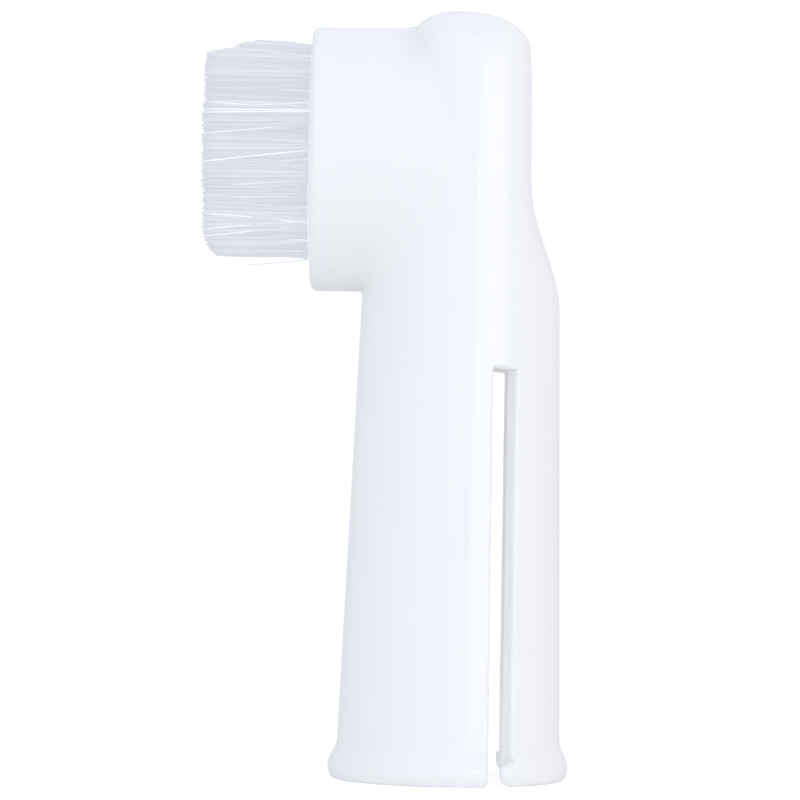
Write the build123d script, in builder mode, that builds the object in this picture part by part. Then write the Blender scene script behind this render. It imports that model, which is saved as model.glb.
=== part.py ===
"""Finger toothbrush for a pet: a moulded finger sleeve with a block of bristles at the fingertip.

Millimetres. The origin is the centre of the mouth, in the plane of the rim. +Z runs up the
sleeve to the fingertip, -X points the way the bristles point, and +X is the side of the
sprung back tongue.
"""

import os
from math import cos, radians, sin, sqrt, tan

from build123d import *

# Sleeve moulding
HEIGHT = 70.0
WALL = 1.5
MOUTH_RADIUS = 10.3
RADIUS_DRAFT = 0.0273
CENTRE_LEAN = 0.015
OUTLINE_POINTS = 36

# Step in the back of the sleeve, where it narrows to the fingertip
STEP_START = 42.5
STEP_END = 54.5
STEP_DEPTH = 2.6
STEP_STATIONS = 7
CORNER_SHARPNESS = 12

# Dome that closes the fingertip, and the front of the sleeve that draws in below it
DOME_RISE = 3.8
DOME_BASE = HEIGHT - DOME_RISE
DOME_SHIFT = 1.1
CAVITY_RISE = 2.3
DOME_ANGLES = (0, 20, 38, 54, 68, 80, 86)
DRAW_IN_START = 62.0
DRAW_IN_SHARE = 0.4
DRAW_IN_STATIONS = 5

# Rolled rim round the mouth, whose profile starts inside the wall
BEAD_RADIUS = 10.95
BEAD_MIDDLE = 1.25
BEAD_TOP = 4.2
BEAD_SINK = 0.25

# Slots down both sides, which free the back tongue. The tongue is a sector of the tube
SLOT_LEFT = 3.57
SLOT_RIGHT = 5.55
SLOT_TOP = 37.2
SLOT_TOP_SLANT = 5.0
TONGUE_HALF_ANGLE = 57.5
TONGUE_GAP = 0.5

# Boss that carries the bristles
BOSS_FACE_X = -13.45
BOSS_ROOT_X = 0.8
BOSS_MIDDLE_Z = 56.3
BOSS_HALF_HEIGHT = 12.1
BOSS_HALF_DEPTH = 8.7
BOSS_EDGE = 1.0

# Bristle tufts, staggered from column to column, and the flat wire anchors that hold them
TUFTS_PER_COLUMN = (3, 6, 7, 8, 7, 6, 3)
COLUMN_PITCH = 2.05
ROW_PITCH = 2.55
FIELD_MIDDLE_Z = 57.0
HOLE_RADIUS = 0.95
HOLE_DEPTH = 4.0
TUFT_ROOT_RADIUS = 0.93
TUFT_TIP_RADIUS = 1.12
TUFT_TIP_X = -23.2
ANCHOR_THICKNESS = 0.3
ANCHOR_LENGTH = 2.1
ANCHOR_WIDTH = 1.2
ANCHOR_CLEAR = 0.4

CUTTER = 30.0


def barrel_radius(height):
    """Outside radius of the plain tapered barrel."""
    return MOUTH_RADIUS - RADIUS_DRAFT * height


def eased(height, start, end):
    """0 below the start, 1 above the end, and a smooth rise between them."""
    travel = min(max((height - start) / (end - start), 0.0), 1.0)
    return travel * travel * (3 - 2 * travel)


def outline(height, inset=0.0, shrink=1.0):
    """Points round the sleeve at one height, moved in by inset and then shrunk."""
    radius = barrel_radius(height)
    share = eased(height, STEP_START, STEP_END)
    shift = share * DOME_SHIFT
    draw_in = DRAW_IN_SHARE * eased(height, DRAW_IN_START, DOME_BASE)
    centre = CENTRE_LEAN * height - shift
    points = []
    for index in range(OUTLINE_POINTS):
        angle = radians(360 * index / OUTLINE_POINTS)
        round_reach = shift * cos(angle) + sqrt(radius**2 - (shift * sin(angle)) ** 2)
        flat = max(cos(angle), 0.0) / (radius - STEP_DEPTH + shift)
        squared = (round_reach**-CORNER_SHARPNESS + flat**CORNER_SHARPNESS) ** (-1 / CORNER_SHARPNESS)
        reach = (round_reach + share * (squared - round_reach)) * (1 - draw_in * max(-cos(angle), 0.0))
        reach = shrink * (reach - inset)
        points.append((centre + reach * cos(angle), reach * sin(angle)))
    return points


def spaced(start, end, count):
    """That many heights, evenly spaced from start to end."""
    return [start + (end - start) * index / (count - 1) for index in range(count)]


def closed_barrel(inset, rise):
    """The sleeve's outside, or its cavity when inset is the wall, as one solid mass."""
    step_heights = spaced(STEP_START, STEP_END, STEP_STATIONS)
    draw_in_heights = spaced(DRAW_IN_START, DOME_BASE, DRAW_IN_STATIONS)
    dome_sections = [(rise * sin(radians(a)), cos(radians(a))) for a in DOME_ANGLES]
    with BuildPart() as mass:
        for stretch in ([0.0, STEP_START], step_heights, [STEP_END, DRAW_IN_START], draw_in_heights):
            for height in stretch:
                with BuildSketch(Plane.XY.offset(height)):
                    with BuildLine():
                        Spline(*outline(height, inset), periodic=True)
                    make_face()
            loft(ruled=len(stretch) == 2)
        for lift, shrink in dome_sections:
            with BuildSketch(Plane.XY.offset(DOME_BASE + lift)):
                with BuildLine():
                    Spline(*outline(DOME_BASE, inset, shrink), periodic=True)
                make_face()
        loft()
    return mass.part


def sector(bottom, top):
    """The wedge that holds the back tongue, between two heights and about the leaning axis."""
    spread = CUTTER * tan(radians(TONGUE_HALF_ANGLE))
    with BuildPart() as wedge:
        for height in (bottom, top):
            centre = CENTRE_LEAN * height
            with BuildSketch(Plane.XY.offset(height)):
                with BuildLine():
                    Polyline((centre, 0), (centre + CUTTER, -spread), (centre + CUTTER, spread), close=True)
                make_face()
        loft(ruled=True)
    return wedge.part


def tuft_places():
    """Each tuft's name, with the Y and Z of its axis, column by column and each from its top."""
    places = []
    for column, count in enumerate(TUFTS_PER_COLUMN):
        side = COLUMN_PITCH * (column - (len(TUFTS_PER_COLUMN) - 1) / 2)
        for row in range(count):
            height = FIELD_MIDDLE_Z + ROW_PITCH * ((count - 1) / 2 - row)
            places.append((f"tuft_c{column + 1}_r{row + 1}", side, height))
    return places


outside = closed_barrel(0.0, DOME_RISE)
cavity = closed_barrel(WALL, CAVITY_RISE)
places = tuft_places()
tuft_spots = [(side, height) for name, side, height in places]
hole_floor_x = BOSS_FACE_X + HOLE_DEPTH
anchor_x = hole_floor_x - ANCHOR_CLEAR - ANCHOR_WIDTH / 2
slot_drop = (SLOT_RIGHT - SLOT_LEFT) * tan(radians(SLOT_TOP_SLANT)) / 2

# The whole tube with its rim, before the slots divide it
with BuildPart() as tube:
    add(outside)
    with BuildSketch(Plane.XZ):
        with BuildLine():
            middle = MOUTH_RADIUS - WALL / 2
            sunk_top = (barrel_radius(BEAD_TOP) - BEAD_SINK, BEAD_TOP)
            crest = (BEAD_RADIUS, BEAD_MIDDLE)
            Polyline((MOUTH_RADIUS, 0), (middle, 0), (middle, BEAD_TOP), sunk_top)
            Spline(sunk_top, crest, tangents=[(0.2, -1), (0, -1)])
            ThreePointArc(crest, (BEAD_RADIUS - 0.22, BEAD_MIDDLE * 0.3), (MOUTH_RADIUS, 0))
        make_face()
    revolve(axis=Axis.Z)
    add(cavity, mode=Mode.SUBTRACT)

# The slots and everything behind them, up to the slanted slot top
with BuildPart() as slot_side:
    with BuildSketch(Plane.XZ):
        with BuildLine():
            Polyline(
                (SLOT_LEFT, -CUTTER),
                (SLOT_LEFT, SLOT_TOP + slot_drop),
                (SLOT_RIGHT, SLOT_TOP - slot_drop),
                (CUTTER, SLOT_TOP - slot_drop),
                (CUTTER, -CUTTER),
                close=True,
            )
        make_face()
    extrude(amount=CUTTER, both=True)

with BuildPart() as anchor_group:
    with Locations(*[(anchor_x, side, height) for side, height in tuft_spots]):
        Box(ANCHOR_WIDTH, ANCHOR_LENGTH, ANCHOR_THICKNESS)

with BuildPart() as sleeve:
    add(tube.part)
    with BuildSketch(Plane.YZ.offset(BOSS_FACE_X)):
        with Locations((0, BOSS_MIDDLE_Z)):
            Ellipse(BOSS_HALF_DEPTH, BOSS_HALF_HEIGHT)
    extrude(amount=BOSS_ROOT_X - BOSS_FACE_X)
    fillet(faces().sort_by(Axis.X)[0].edges(), BOSS_EDGE)
    add(cavity, mode=Mode.SUBTRACT)
    add(slot_side.part, mode=Mode.SUBTRACT)
    with BuildSketch(Plane.YZ.offset(BOSS_FACE_X)):
        with Locations(*tuft_spots):
            Circle(HOLE_RADIUS)
    extrude(amount=HOLE_DEPTH, mode=Mode.SUBTRACT)
    add(anchor_group.part, mode=Mode.SUBTRACT)

tongue_top = SLOT_TOP - slot_drop - TONGUE_GAP
with BuildPart() as back_tongue:
    add(tube.part)
    add(sector(-1.0, tongue_top), mode=Mode.INTERSECT)

with BuildPart() as tongue_web:
    add(tube.part)
    add(sector(tongue_top, tongue_top + TONGUE_GAP), mode=Mode.INTERSECT)

os.makedirs("parts", exist_ok=True)

sleeve.part.label = "sleeve"
export_step(sleeve.part, "parts/sleeve.step")
back_tongue.part.label = "back_tongue"
export_step(back_tongue.part, "parts/back_tongue.step")
tongue_web.part.label = "tongue_web"
export_step(tongue_web.part, "parts/tongue_web.step")
anchor_group.part.label = "tuft_anchors"
export_step(anchor_group.part, "parts/tuft_anchors.step")

for name, side, height in places:
    with BuildPart() as tuft:
        with BuildSketch(Plane.YZ.offset(hole_floor_x)):
            with Locations((side, height)):
                Circle(TUFT_ROOT_RADIUS)
        extrude(amount=-HOLE_DEPTH)
        for x, radius in ((BOSS_FACE_X, TUFT_ROOT_RADIUS), (TUFT_TIP_X, TUFT_TIP_RADIUS)):
            with BuildSketch(Plane.YZ.offset(x)):
                with Locations((side, height)):
                    Circle(radius)
        loft()
        with Locations((anchor_x, side, height)):
            Box(ANCHOR_WIDTH, ANCHOR_LENGTH, ANCHOR_THICKNESS, mode=Mode.SUBTRACT)
    tuft.part.label = name
    export_step(tuft.part, f"parts/{name}.step")
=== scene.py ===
"""Looks of a pet's finger toothbrush: a white plastic finger sleeve with a block of nylon bristles.

Shapes are worked out in millimetres in the part's own frame, and go into Blender in metres.
"""

import math
import random

import bpy
import numpy as np
import openvdb
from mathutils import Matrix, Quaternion, Vector
from mathutils.geometry import tessellate_polygon


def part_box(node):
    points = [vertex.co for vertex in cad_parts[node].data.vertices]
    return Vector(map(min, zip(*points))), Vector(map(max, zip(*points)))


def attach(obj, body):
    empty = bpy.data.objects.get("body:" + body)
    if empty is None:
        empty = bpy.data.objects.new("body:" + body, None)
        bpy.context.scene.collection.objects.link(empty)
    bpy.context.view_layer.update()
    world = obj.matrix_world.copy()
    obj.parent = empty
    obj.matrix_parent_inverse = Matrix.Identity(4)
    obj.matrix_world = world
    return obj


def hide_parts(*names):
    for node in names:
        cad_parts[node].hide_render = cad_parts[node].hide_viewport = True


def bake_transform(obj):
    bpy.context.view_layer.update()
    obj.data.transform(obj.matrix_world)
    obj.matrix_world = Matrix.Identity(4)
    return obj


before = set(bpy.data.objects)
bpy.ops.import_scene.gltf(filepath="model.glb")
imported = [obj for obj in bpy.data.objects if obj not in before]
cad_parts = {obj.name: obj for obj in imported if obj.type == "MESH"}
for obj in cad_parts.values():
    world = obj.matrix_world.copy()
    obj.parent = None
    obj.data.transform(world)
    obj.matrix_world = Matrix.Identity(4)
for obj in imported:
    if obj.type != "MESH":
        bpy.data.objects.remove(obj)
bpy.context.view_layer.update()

MM = 0.001
TINY = 1e-9

# Sleeve moulding: a leaning, tapered barrel with a squared back above the step, and a dome
WALL = 1.5
MOUTH_RADIUS = 10.3
RADIUS_DRAFT = 0.0273
CENTRE_LEAN = 0.015
STEP_START = 42.5
STEP_END = 54.5
STEP_DEPTH = 2.6
CORNER_SHARPNESS = 12
DOME_RISE = 3.8
DOME_SHIFT = 1.1
CAVITY_RISE = 2.3
DRAW_IN_START = 62.0
DRAW_IN_SHARE = 0.4
SHOULDER_START = 63.0
SHOULDER_DROP = 0.1

# Rolled rim
BEAD_REACH = 10.93
BEAD_MIDDLE = 1.2
BEAD_SECTION = 1.35
BEAD_FLARE = 1.1
MOUTH_ROUND = 0.25

# Slots, whose rear sides are the tongue's slanted sides, and whose ends cut through the rim
SLOT_LEFT = 3.57
SLOT_RIGHT = 5.55
SLOT_TOP = 37.2
SLOT_TOP_SLANT = math.radians(5.0)
TONGUE_HALF_ANGLE = math.radians(51.0)
TONGUE_APEX_X = -1.4
TONGUE_LEAN = 0.023
SLOT_CORNER = 0.12
BEAD_END_X = 4.57
BEAD_END_TOP = (2.4, 1.7)
BEAD_END_REACH = (MOUTH_RADIUS - 0.9, MOUTH_RADIUS - 0.2)

# Rounding of the slots' edges, on the sleeve's side and on the tongue's, and the heights and the
# width over which it changes
SLEEVE_EDGE = 0.18
SLEEVE_EDGE_RIM = 0.5
TONGUE_EDGE_TOP = 0.28
TONGUE_EDGE = 0.3
TONGUE_EDGE_RIM = 1.1
EDGE_TOP_HEIGHTS = (24, 34)
EDGE_RIM_HEIGHTS = (0.5, 2.3)
EDGE_SIDES = (SLOT_LEFT + 0.3, SLOT_LEFT + 0.9)

# Seam between the sleeve's mesh and the tongue's, just above the slots, and how far the caps at the
# seam are sunk
SEAM = SLOT_TOP + 0.6
SEAM_SIDE = SLOT_LEFT + 0.6
CAP_SINK = 0.1

# Boss, with its tuft holes
BOSS_MIDDLE_Z = 56.3
BOSS_HALF_HEIGHT = 12.1
BOSS_HALF_DEPTH = 8.7
BOSS_ROOT_X = 0.8
BOSS_EDGE = 0.55
BOSS_CROWN = 0.15
BOSS_CROWN_EDGE = 0.25
BOSS_CROWN_LIMIT = 1.2
HOLE_RADIUS = 0.97
HOLE_DEPTH = 4.0

# Fillet that joins the boss to the barrel at its bottom, top and sides, and where it changes
FILLET_BOTTOM = 0.25
FILLET_TOP = 1.8
FILLET_SIDE = 3.2
FILLET_HEIGHTS = (52, 62)
FILLET_DEPTHS = (0.5, 8.5)
FILLET_END = (-3, BOSS_ROOT_X - 0.3)
FILLET_LEAST = 1e-6

# Grid that the moulding's field is meshed on, and the steps that settle the mesh on the surface
VOXEL = 0.27
MARGIN = 3 * VOXEL
FAR = 10.0
SNAP_STEPS = 6
SLOPE_STEP = 0.02

sleeve_low, sleeve_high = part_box("sleeve")
HEIGHT = sleeve_high[2] / MM
DOME_BASE = HEIGHT - DOME_RISE
BOSS_FACE_X = sleeve_low[0] / MM
tuft_names = sorted(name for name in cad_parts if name.startswith("tuft_c"))


def tuft_axis(name):
    """Y and Z of a tuft's axis, and the X of its tip, in millimetres."""
    low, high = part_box(name)
    return (low[1] + high[1]) / 2 / MM, (low[2] + high[2]) / 2 / MM, low[0] / MM


tuft_axes = {name: tuft_axis(name) for name in tuft_names}


# ---------------------------------------------------------------- the moulding as a distance field


def round_join(a, b, radius):
    """Union of two fields with a fillet of that radius."""
    corner = np.hypot(np.maximum(radius - a, 0), np.maximum(radius - b, 0))
    return np.maximum(radius, np.minimum(a, b)) - corner


def round_cut(a, b, radius):
    """Intersection of two fields with its edge rounded to that radius."""
    corner = np.hypot(np.maximum(a + radius, 0), np.maximum(b + radius, 0))
    return np.minimum(-radius, np.maximum(a, b)) + corner


def eased(value, start, end):
    """0 before the start, 1 after the end, and a smooth rise between them."""
    share = np.clip((value - start) / (end - start), 0, 1)
    return share * share * (3 - 2 * share)


def mixed(a, b, share):
    """A value between a and b."""
    return a + (b - a) * share


def outline_radius(x, y, z):
    """The sleeve's radius towards a point, and the point's own distance and X from its axis."""
    height = np.minimum(z, DOME_BASE)
    shoulder = np.maximum(z - SHOULDER_START, 0) / (DOME_BASE - SHOULDER_START)
    radius = MOUTH_RADIUS - RADIUS_DRAFT * height - SHOULDER_DROP * shoulder**2
    share = eased(z, STEP_START, STEP_END)
    shift = share * DOME_SHIFT
    across = x - CENTRE_LEAN * height + shift
    reach = np.hypot(across, y) + TINY
    turn = across / reach
    full = shift * turn + np.sqrt(radius**2 - (shift * y / reach) ** 2)
    back = np.maximum(turn, 0) / (radius - STEP_DEPTH + shift)
    squared = (full**-CORNER_SHARPNESS + back**CORNER_SHARPNESS) ** (-1 / CORNER_SHARPNESS)
    draw_in = DRAW_IN_SHARE * eased(z, DRAW_IN_START, DOME_BASE) * np.maximum(-turn, 0) ** 2
    return mixed(full, squared, share) * (1 - draw_in), reach, across


def barrel(x, y, z, inset, rise):
    """Distance to the barrel moved in by inset, with its dome's rise, and its outward direction."""
    radius, reach, across = outline_radius(x, y, z)
    radius = radius - inset
    level = reach / radius
    lift = np.maximum(z - DOME_BASE, 0) / rise
    scale = np.hypot(level, lift)
    slope = np.hypot(level / radius, lift / rise)
    flat = level / radius / slope
    direction = (across / reach * flat, y / reach * flat, lift / rise / slope)
    return scale * (scale - 1) / slope, direction


def boss(x, y, z):
    """Distance to the oval boss, with the outward direction of its side."""
    high = (z - BOSS_MIDDLE_Z) / BOSS_HALF_HEIGHT
    deep = y / BOSS_HALF_DEPTH
    scale = np.hypot(high, deep) + TINY
    slope = np.hypot(high / BOSS_HALF_HEIGHT, deep / BOSS_HALF_DEPTH) + TINY
    side = scale * (scale - 1) / slope
    crown = np.minimum(scale, BOSS_CROWN_LIMIT)
    face = BOSS_FACE_X + BOSS_CROWN * crown**2 + BOSS_CROWN_EDGE * crown**6 - x
    solid = np.maximum(round_cut(side, face, BOSS_EDGE), x - BOSS_ROOT_X)
    return solid, (deep / BOSS_HALF_DEPTH / slope, high / BOSS_HALF_HEIGHT / slope)


def fillet_radius(x, y, z, out, side):
    """Radius of the fillet between the barrel and the boss, which fades where they line up."""
    alike = np.clip(out[1] * side[0] + out[2] * side[1], 0, 1)
    middle = mixed(FILLET_BOTTOM, FILLET_TOP, eased(z, *FILLET_HEIGHTS))
    radius = mixed(middle, FILLET_SIDE, eased(np.abs(y), *FILLET_DEPTHS))
    return radius * np.sqrt(1 - alike) * (1 - eased(x, *FILLET_END)) + FILLET_LEAST


def slots(x, y, z):
    """Distance to the pair of side slots, which stop at the tongue's slanted sides and rim."""
    across = x - TONGUE_LEAN * z - TONGUE_APEX_X
    tongue = across * math.sin(TONGUE_HALF_ANGLE) - np.abs(y) * math.cos(TONGUE_HALF_ANGLE)
    rim = eased(z, *BEAD_END_TOP) * eased(np.hypot(x, y), *BEAD_END_REACH)
    side = np.maximum(SLOT_LEFT - x, mixed(tongue, x - BEAD_END_X, rim))
    slant = math.tan(SLOT_TOP_SLANT) * (x - (SLOT_LEFT + SLOT_RIGHT) / 2)
    return round_cut(side, (z - SLOT_TOP + slant) * math.cos(SLOT_TOP_SLANT), SLOT_CORNER)


def slot_edge(x, z):
    """Rounding of the slots' edges, larger on the tongue's side and towards the rim."""
    low = 1 - eased(z, *EDGE_RIM_HEIGHTS)
    sleeve_side = mixed(SLEEVE_EDGE, SLEEVE_EDGE_RIM, low)
    tongue_side = mixed(TONGUE_EDGE, TONGUE_EDGE_TOP, eased(z, *EDGE_TOP_HEIGHTS))
    tongue_side = mixed(tongue_side, TONGUE_EDGE_RIM, low)
    return mixed(sleeve_side, tongue_side, eased(x, *EDGE_SIDES))


def tuft_holes(x, y, z):
    """Distance to the nearest blind tuft hole."""
    nearest = np.full_like(x, FAR)
    for side, height, _ in tuft_axes.values():
        nearest = np.minimum(nearest, np.hypot(y - side, z - height) - HOLE_RADIUS)
    return np.maximum(nearest, x - BOSS_FACE_X - HOLE_DEPTH)


def moulding(points):
    """Signed distance, in millimetres, from points to the surface of the whole moulding."""
    x, y, z = points.T
    outside, out = barrel(x, y, z, 0, DOME_RISE)
    block, side = boss(x, y, z)
    body = round_join(outside, block, fillet_radius(x, y, z, out, side))
    reach = np.hypot(x, y)
    bead = np.hypot(reach - BEAD_REACH + BEAD_SECTION, z - BEAD_MIDDLE) - BEAD_SECTION
    body = round_join(body, bead, BEAD_FLARE)
    body = round_cut(body, -z, MOUTH_ROUND)
    hollow = barrel(x, y, z, WALL, CAVITY_RISE)[0]
    body = round_cut(body, -hollow, MOUTH_ROUND)
    body = round_cut(body, -slots(x, y, z), slot_edge(x, z))
    near = (x < BOSS_FACE_X + HOLE_DEPTH + 1) & (np.abs(z - BOSS_MIDDLE_Z) < BOSS_HALF_HEIGHT)
    body[near] = np.maximum(body[near], -tuft_holes(x[near], y[near], z[near]))
    return body


def field_slope(points):
    """Gradient of the field by central differences."""
    slope = np.empty_like(points)
    for axis in range(3):
        step = np.zeros(3)
        step[axis] = SLOPE_STEP
        slope[:, axis] = (moulding(points + step) - moulding(points - step)) / (2 * SLOPE_STEP)
    return slope


def mesh_moulding():
    """Points, in millimetres, quads and normals of the moulding's surface."""
    low = np.array([BOSS_FACE_X, -BEAD_REACH, 0]) - MARGIN
    high = np.array([BEAD_REACH, BEAD_REACH, HEIGHT]) + MARGIN
    axes = [np.arange(a, b, VOXEL) for a, b in zip(low, high)]
    grid = np.stack(np.meshgrid(*axes, indexing="ij"), axis=-1)
    values = moulding(grid.reshape(-1, 3)).reshape(grid.shape[:3])
    volume = openvdb.FloatGrid(FAR)
    volume.copyFromArray(values.astype(np.float32))
    points, quads = volume.convertToQuads(isovalue=0.0)
    points = points.astype(float) * VOXEL + low
    for _ in range(SNAP_STEPS):
        slope = field_slope(points)
        size = np.linalg.norm(slope, axis=1) + TINY
        move = moulding(points) / size
        points -= slope / size[:, None] * np.clip(move, -VOXEL / 2, VOXEL / 2)[:, None]
    normals = field_slope(points)
    normals /= np.linalg.norm(normals, axis=1)[:, None] + TINY
    return points, quads, normals


def new_object(name, points, faces, material):
    """A smooth mesh object from points in millimetres."""
    mesh = bpy.data.meshes.new(name)
    mesh.from_pydata((np.asarray(points) * MM).tolist(), [], faces)
    mesh.polygons.foreach_set("use_smooth", [True] * len(mesh.polygons))
    mesh.materials.append(material)
    mesh.update()
    made = bpy.data.objects.new(name, mesh)
    bpy.context.scene.collection.objects.link(made)
    return made


def add_values(made, name, values):
    """Stores one number for each point of a mesh object."""
    attribute = made.data.attributes.new(name, "FLOAT", "POINT")
    attribute.data.foreach_set("value", values)


# ---------------------------------------------------------------- materials

NOISE_DETAIL = 3.0


def new_material(name):
    """A node material, with its tree and its Principled shader."""
    material = bpy.data.materials.new(name)
    material.use_nodes = True
    tree = material.node_tree
    return material, tree, tree.nodes["Principled BSDF"]


def noise(tree, scale):
    """A noise texture in object space, whose scale is features per metre."""
    place = tree.nodes.new("ShaderNodeTexCoord")
    texture = tree.nodes.new("ShaderNodeTexNoise")
    texture.inputs["Scale"].default_value = scale
    texture.inputs["Detail"].default_value = NOISE_DETAIL
    tree.links.new(place.outputs["Object"], texture.inputs["Vector"])
    return texture.outputs["Fac"]


def between(tree, value, low, high):
    """A value from 0 to 1 spread from low to high."""
    spread = tree.nodes.new("ShaderNodeMapRange")
    spread.inputs["To Min"].default_value = low
    spread.inputs["To Max"].default_value = high
    tree.links.new(value, spread.inputs["Value"])
    return spread.outputs["Result"]


def bump(tree, shader, height, distance, strength):
    """Bumps the shader's surface by a height texture."""
    node = tree.nodes.new("ShaderNodeBump")
    node.inputs["Strength"].default_value = strength
    node.inputs["Distance"].default_value = distance
    tree.links.new(height, node.inputs["Height"])
    tree.links.new(node.outputs["Normal"], shader.inputs["Normal"])


def maths(tree, operation, *values):
    """A maths node fed with numbers or with other nodes' outputs."""
    node = tree.nodes.new("ShaderNodeMath")
    node.operation = operation
    for socket, value in zip(node.inputs, values):
        if isinstance(value, (int, float)):
            socket.default_value = value
        else:
            tree.links.new(value, socket)
    return node.outputs["Value"]


def edge(tree, value, start, end):
    """0 before the start and 1 after the end, whichever way round they are."""
    spread = tree.nodes.new("ShaderNodeMapRange")
    spread.interpolation_type = "SMOOTHSTEP"
    spread.inputs["From Min"].default_value = start
    spread.inputs["From Max"].default_value = end
    tree.links.new(value, spread.inputs["Value"])
    return spread.outputs["Result"]


def colour_mix(tree, share, first, second):
    """A colour between two, by a share from 0 to 1."""
    node = tree.nodes.new("ShaderNodeMix")
    node.data_type = "RGBA"
    node.inputs["A"].default_value = (*first, 1)
    node.inputs["B"].default_value = (*second, 1)
    tree.links.new(share, node.inputs["Factor"])
    return node.outputs["Result"]


def tinted(tree, colour, tint):
    """A colour multiplied by another."""
    node = tree.nodes.new("ShaderNodeMix")
    node.data_type = "RGBA"
    node.blend_type = "MULTIPLY"
    node.inputs["Factor"].default_value = 1.0
    tree.links.new(colour, node.inputs["A"])
    tree.links.new(tint, node.inputs["B"])
    return node.outputs["Result"]


def point_values(tree, name):
    """The numbers that add_values stored under that name."""
    node = tree.nodes.new("ShaderNodeAttribute")
    node.attribute_name = name
    return node.outputs["Fac"]


def white_plastic():
    """Satin white moulded plastic, with painted shade that makes it a little darker underneath.

    Its faint glow, stronger inside, stands for the light that soaks through the wall.
    """
    material, tree, shader = new_material("white_plastic")
    tint = colour_mix(tree, noise(tree, 120), (0.665, 0.69, 0.71), (0.68, 0.705, 0.72))
    # Painted shade: faces that point down get a darker base colour, as if less light reached them
    # from below
    place = tree.nodes.new("ShaderNodeTexCoord")
    split = tree.nodes.new("ShaderNodeSeparateXYZ")
    tree.links.new(place.outputs["Normal"], split.inputs["Vector"])
    shade = colour_mix(tree, edge(tree, split.outputs["Z"], 0, -1), (1, 1, 1), (0.93, 0.93, 0.94))
    tree.links.new(tinted(tree, tint, shade), shader.inputs["Base Color"])
    # Painted light: a glow, stronger deeper in the wall, for the light that soaks through it
    within = point_values(tree, "within")
    painted_glow_colour = colour_mix(tree, within, (0.93, 0.97, 1.0), (1.0, 0.95, 0.94))
    tree.links.new(painted_glow_colour, shader.inputs["Emission Color"])
    tree.links.new(between(tree, within, 0.15, 0.21), shader.inputs["Emission Strength"])
    tree.links.new(between(tree, noise(tree, 900), 0.09, 0.14), shader.inputs["Roughness"])
    shader.inputs["IOR"].default_value = 1.49
    shader.inputs["Specular IOR Level"].default_value = 0.4
    bump(tree, shader, noise(tree, 2500), 0.01 * MM, 0.3)
    return material


def nylon():
    """Translucent nylon filament, whose tone varies from filament to filament, with a painted glow
    for the light that passes through it.
    """
    material, tree, shader = new_material("nylon_filament")
    tone = point_values(tree, "tone")
    tint = colour_mix(tree, tone, (0.25, 0.26, 0.28), (0.54, 0.55, 0.57))
    tree.links.new(tint, shader.inputs["Base Color"])
    tree.links.new(between(tree, noise(tree, 1500), 0.2, 0.35), shader.inputs["Roughness"])
    shader.inputs["IOR"].default_value = 1.53
    # Painted light: a glow for the light that passes through the filaments, which lifts the shade
    # between them
    shader.inputs["Emission Color"].default_value = (0.915, 0.94, 1.01, 1)
    shader.inputs["Emission Strength"].default_value = 0.495
    return material


def anchor_brass():
    """Drawn brass wire."""
    material, tree, shader = new_material("anchor_brass")
    tint = colour_mix(tree, noise(tree, 700), (0.7, 0.52, 0.24), (0.8, 0.62, 0.32))
    tree.links.new(tint, shader.inputs["Base Color"])
    tree.links.new(between(tree, noise(tree, 1800), 0.25, 0.45), shader.inputs["Roughness"])
    shader.inputs["Metallic"].default_value = 1.0
    return material


plastic = white_plastic()
filament_material = nylon()

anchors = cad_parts["tuft_anchors"].data
anchors.materials.clear()
anchors.materials.append(anchor_brass())


# ---------------------------------------------------------------- sleeve and tongue


def open_edge(faces):
    """The points round a mesh's one open edge, in the order that a cap's face would have them."""
    edges = {pair for face in faces for pair in zip(face, face[1:] + face[:1])}
    following = {b: a for a, b in edges if (b, a) not in edges}
    loop = [min(following)]
    while following[loop[-1]] != loop[0]:
        loop.append(following[loop[-1]])
    return loop


def capped(points, faces, normals, up):
    """The same mesh closed by a cap sunk into the wall, so that no light leaks at the seam."""
    loop = open_edge(faces)
    sunk = points[loop] - CAP_SINK * normals[loop] - (0, 0, CAP_SINK * up)
    first = len(points)
    ring = list(range(first, first + len(loop)))
    after = loop[1:] + loop[:1]
    ring_after = ring[1:] + ring[:1]
    faces = faces + [list(side) for side in zip(loop, after, ring_after, ring)]
    for triangle in tessellate_polygon([[Vector(place) for place in sunk]]):
        a, b, c = sunk[list(triangle)]
        turned = np.cross(b - a, c - a)[2] * up < 0
        faces.append([first + corner for corner in (reversed(triangle) if turned else triangle)])
    ends = np.tile((0.0, 0.0, float(up)), (len(loop), 1))
    return np.vstack([points, sunk]), faces, np.vstack([normals, ends])


def moulding_piece(name, wanted, up):
    """A piece made of the wanted faces of the moulding, closed by a cap that faces up or down."""
    used, flat = np.unique(quads[wanted], return_inverse=True)
    faces = flat.reshape(-1, 4).tolist()
    places, faces, directions = capped(points[used], faces, normals[used], up)
    made = new_object(name, places, faces, plastic)
    made.data.normals_split_custom_set_from_vertices(directions.tolist())
    depth = -barrel(*places.T, 0, DOME_RISE)[0]
    add_values(made, "within", np.clip(depth / WALL, 0, 1))
    return made


# The tongue's faces are those behind the slots and below the seam
points, quads, normals = mesh_moulding()
face_middles = points[quads].mean(axis=1)
behind = (face_middles[:, 0] > SEAM_SIDE) & (face_middles[:, 2] < SEAM)
shell = moulding_piece("sleeve_shell", ~behind, -1)
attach(shell, "finger_sleeve")
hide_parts("sleeve")
tongue = moulding_piece("tongue_strip", behind, 1)
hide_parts("back_tongue", "tongue_web")
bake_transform(tongue)


# ---------------------------------------------------------------- bristles

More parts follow.
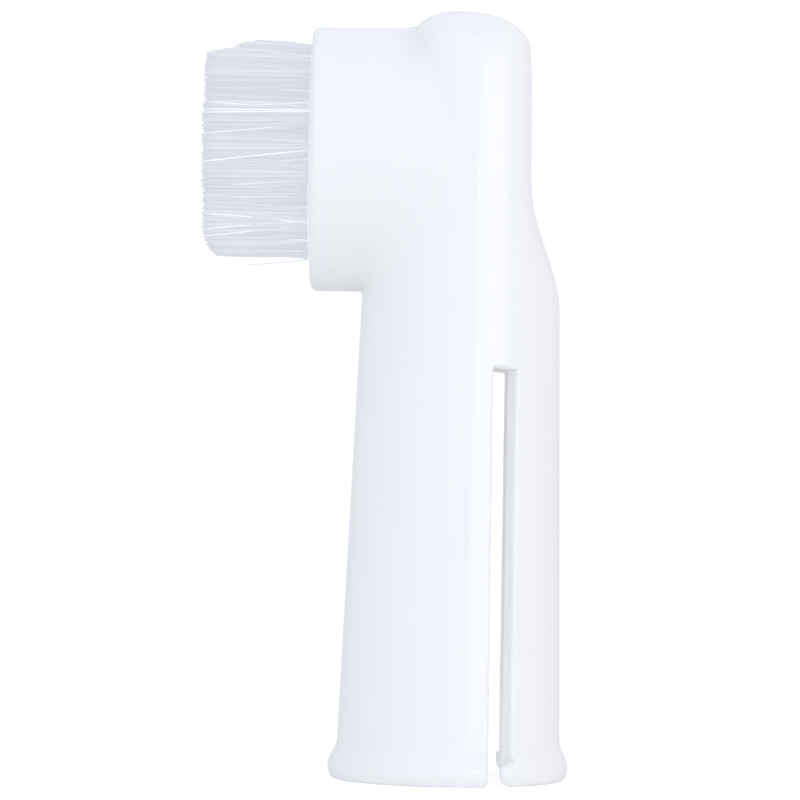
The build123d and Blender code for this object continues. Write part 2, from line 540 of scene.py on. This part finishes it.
# Filaments of a tuft, which splay, drift and bow on their way to the tips. The greater the haste,
# the sooner they spread. Their tones run from 0 to TONES, and a pale one would be 1
FILAMENTS_PER_TUFT = 66
FILAMENT_RADIUS = 0.085
FILAMENT_SIDES = 6
FILAMENT_STATIONS = 7
TIP_SHARE = 0.75
TUFT_RADIUS = 0.93
ROOT_SINK = 3.4
SPLAY = 1.45
DRIFT = 0.2
BOW = 0.08
HASTE = 2.5
TONES = 0.3
GOLDEN_ANGLE = math.pi * (3 - math.sqrt(5))
TURN_DRIFT = 0.2

# Strays: thin, straight filaments that cross the others, given a pale tone that is a painted
# highlight for the glints they catch
STRAY_SHARE = 0.045
STRAY_DRIFT = 1.2
STRAY_RADIUS = 0.055
STRAY_HASTE = 1.0
STRAY_GLINT_TONE = 1.0

# Outline that the tips are trimmed to: a sloping corner at the top, a round one at the bottom
TRIM_TOP = 65.85
TRIM_TOP_SLOPE = 3.4
TRIM_BOTTOM = 49.4
TRIM_BOTTOM_ROUND = 2.4
TRIM_SETBACK = 0.3
RAGGED = 0.4
BLOCK_BOTTOM = 47.3
BOTTOM_RAGGED = 0.5

# The one filament that has slipped out below the block, from its root to its tip
SLIPPED_TUFT = "tuft_c4_r8"
SLIPPED_PATH = ((-9.6, -0.6, 47.3), (-13.3, -0.6, 47.1), (-16, -0.7, 46.75), (-18.9, -0.8, 46.5))
SLIPPED_TONE = 0.5

random.seed(7)


def filament_path(root, tip, bow, haste):
    """Stations along one filament, from its root in the boss to its tip."""
    stations = [root]
    for index in range(FILAMENT_STATIONS):
        share = index / (FILAMENT_STATIONS - 1)
        spread = 1 - (1 - share) ** haste
        swell = math.sin(math.pi * share)
        x = BOSS_FACE_X + (tip[0] - BOSS_FACE_X) * share
        y, z = (root[a] + (tip[a] - root[a]) * spread + bow[a - 1] * swell for a in (1, 2))
        stations.append((x, y, z))
    return stations


def filament_tube(path, radius, points, faces):
    """Adds a closed tube of that radius along a path that runs towards -X."""
    base = len(points)
    for index, (x, y, z) in enumerate(path):
        size = radius * (TIP_SHARE if index == len(path) - 1 else 1)
        for side in range(FILAMENT_SIDES):
            angle = 2 * math.pi * side / FILAMENT_SIDES
            points.append((x, y + size * math.cos(angle), z + size * math.sin(angle)))
    for index in range(len(path) - 1):
        for side in range(FILAMENT_SIDES):
            a = base + index * FILAMENT_SIDES + side
            b = base + index * FILAMENT_SIDES + (side + 1) % FILAMENT_SIDES
            faces.append((a, a + FILAMENT_SIDES, b + FILAMENT_SIDES, b))
    faces.append([base + side for side in range(FILAMENT_SIDES)])
    last = base + (len(path) - 1) * FILAMENT_SIDES
    faces.append([last + side for side in reversed(range(FILAMENT_SIDES))])


def trimmed_tip(z, tip):
    """X where a filament that ends at that height is trimmed."""
    above = max(z - TRIM_TOP, 0)
    below = min(max(TRIM_BOTTOM - z, 0), TRIM_BOTTOM_ROUND)
    corner = TRIM_BOTTOM_ROUND - math.sqrt(TRIM_BOTTOM_ROUND**2 - below**2)
    return tip + TRIM_SETBACK + TRIM_TOP_SLOPE * above + corner + random.uniform(0, RAGGED)


def make_tuft(name):
    """One tuft of filaments, folded into its hole and splayed towards its tips."""
    side, height, tip = tuft_axes[name]
    points, faces, tones = [], [], []
    for index in range(FILAMENTS_PER_TUFT):
        reach = TUFT_RADIUS * math.sqrt((index + 0.5) / FILAMENTS_PER_TUFT) - FILAMENT_RADIUS / 2
        angle = index * GOLDEN_ANGLE + random.uniform(-TURN_DRIFT, TURN_DRIFT)
        y, z = reach * math.cos(angle), reach * math.sin(angle)
        stray = random.random() < STRAY_SHARE
        drift = STRAY_DRIFT if stray else DRIFT
        root = (BOSS_FACE_X + ROOT_SINK, side + y, height + z)
        end_y = side + y * SPLAY + random.uniform(-drift, drift)
        end_z = height + z * SPLAY + random.uniform(-drift, drift)
        end_z = max(end_z, BLOCK_BOTTOM + random.uniform(0, BOTTOM_RAGGED))
        bow = (random.uniform(-BOW, BOW), random.uniform(-BOW, BOW))
        end = (trimmed_tip(end_z, tip), end_y, end_z)
        path = filament_path(root, end, bow, STRAY_HASTE if stray else HASTE)
        filament_tube(path, STRAY_RADIUS if stray else FILAMENT_RADIUS, points, faces)
        tone = STRAY_GLINT_TONE if stray else random.random() * TONES
        tones += [tone] * (len(points) - len(tones))
    if name == SLIPPED_TUFT:
        filament_tube(SLIPPED_PATH, FILAMENT_RADIUS, points, faces)
        tones += [SLIPPED_TONE] * (len(points) - len(tones))
    made = new_object(f"bristles_{name}", points, faces, filament_material)
    add_values(made, "tone", tones)
    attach(made, "finger_sleeve")
    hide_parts(name)


for name in tuft_names:
    make_tuft(name)


# ---------------------------------------------------------------- studio

FLOOR_REACH = 3000

# Where the softbox brightens from nothing to full at each of its edges, in degrees to the right of
# the front and above the horizon
SOFTBOX_LEFT = (16.5, 17.5)
SOFTBOX_RIGHT = (55.2, 54.2)
SOFTBOX_TOP = (13, 12)
SOFTBOX_BOTTOM = (-4.5, 0.5)
SOFTBOX_STRENGTH = 1.8

# Studio brightness, with what the front, the top and the backdrop add to it, and their edges
STUDIO_LEVEL = 0.545
STUDIO_FRONT = 0.74
STUDIO_FRONT_RISE = (-0.2, 0.6)
STUDIO_TOP = 0.5
BACKDROP = 0.56
BACKDROP_EDGE = (0.94, 0.98)

# Tints of its light from the left, the middle and the right
STUDIO_TINTS = ((0.96, 0.975, 1.08), (0.97, 1.0, 1.02), (1.09, 0.96, 1.06))


def floor_paper():
    """Plain pale paper that glows enough to read as white."""
    material, _, shader = new_material("floor_paper")
    shader.inputs["Base Color"].default_value = (0.45, 0.45, 0.45, 1)
    shader.inputs["Roughness"].default_value = 0.9
    shader.inputs["Emission Color"].default_value = (1, 1, 1, 1)
    shader.inputs["Emission Strength"].default_value = 0.64
    return material


def studio_world():
    """A pale studio, brightest in front, with a white backdrop and a softbox at the right."""
    world = bpy.data.worlds.new("studio")
    world.use_nodes = True
    tree = world.node_tree
    place = tree.nodes.new("ShaderNodeTexCoord")
    split = tree.nodes.new("ShaderNodeSeparateXYZ")
    tree.links.new(place.outputs["Generated"], split.inputs["Vector"])
    x, y, z = split.outputs
    front = maths(tree, "POWER", maths(tree, "MINIMUM", y, 0), 2)
    front = maths(tree, "MULTIPLY", front, edge(tree, z, *STUDIO_FRONT_RISE))
    level = maths(tree, "MULTIPLY_ADD", front, STUDIO_FRONT, STUDIO_LEVEL)
    level = maths(tree, "MULTIPLY_ADD", edge(tree, y, *BACKDROP_EDGE), BACKDROP, level)
    level = maths(tree, "MULTIPLY_ADD", z, STUDIO_TOP, level)
    ramp = tree.nodes.new("ShaderNodeValToRGB")
    ramp.color_ramp.elements.new(0.5)
    for stop, colour in zip(ramp.color_ramp.elements, STUDIO_TINTS):
        stop.color = (*colour, 1)
    tree.links.new(maths(tree, "MULTIPLY_ADD", x, 0.5, 0.5), ramp.inputs["Fac"])
    across = maths(tree, "DEGREES", maths(tree, "ARCTAN2", x, maths(tree, "MULTIPLY", y, -1)))
    up = maths(tree, "DEGREES", maths(tree, "ARCSINE", z))
    left, right = edge(tree, across, *SOFTBOX_LEFT), edge(tree, across, *SOFTBOX_RIGHT)
    top, bottom = edge(tree, up, *SOFTBOX_TOP), edge(tree, up, *SOFTBOX_BOTTOM)
    sides = maths(tree, "MULTIPLY", left, right)
    ends = maths(tree, "MULTIPLY", top, bottom)
    patch = maths(tree, "MULTIPLY", maths(tree, "MULTIPLY", sides, ends), SOFTBOX_STRENGTH)
    background = tree.nodes["Background"]
    tree.links.new(ramp.outputs["Color"], background.inputs["Color"])
    tree.links.new(maths(tree, "ADD", level, patch), background.inputs["Strength"])
    return world


corners = ((-1, -1), (1, -1), (1, 1), (-1, 1))
floor_points = [(a * FLOOR_REACH, b * FLOOR_REACH, 0) for a, b in corners]
floor = new_object("floor", floor_points, [(0, 1, 2, 3)], floor_paper())
# Kept out of reflections, so that it doesn't whiten the sleeve's outline
floor.visible_glossy = False

bpy.context.scene.world = studio_world()
bpy.context.scene.view_settings.view_transform = "Standard"


# ---------------------------------------------------------------- camera

CAMERA_DISTANCE = 350.0
CAMERA_YAW = math.radians(-0.45)
CAMERA_HEIGHT = 28.0
AIM = (-4.77, 0.0, 34.4)
ROLL = math.radians(0.8)
VIEW_WIDTH = 73.04
SENSOR = 36.0

camera_data = bpy.data.cameras.new("camera")
camera_data.sensor_width = SENSOR
camera_data.lens = SENSOR * CAMERA_DISTANCE / VIEW_WIDTH
camera_data.clip_start = 0.01
camera_data.clip_end = 20
camera = bpy.data.objects.new("camera", camera_data)
bpy.context.scene.collection.objects.link(camera)
camera.location = (
    (AIM[0] - CAMERA_DISTANCE * math.sin(CAMERA_YAW)) * MM,
    -CAMERA_DISTANCE * math.cos(CAMERA_YAW) * MM,
    CAMERA_HEIGHT * MM,
)
look = Vector([a * MM - b for a, b in zip(AIM, camera.location)]).to_track_quat("-Z", "Y")
camera.rotation_mode = "QUATERNION"
camera.rotation_quaternion = look @ Quaternion((0, 0, 1), ROLL)
bpy.context.scene.camera = camera
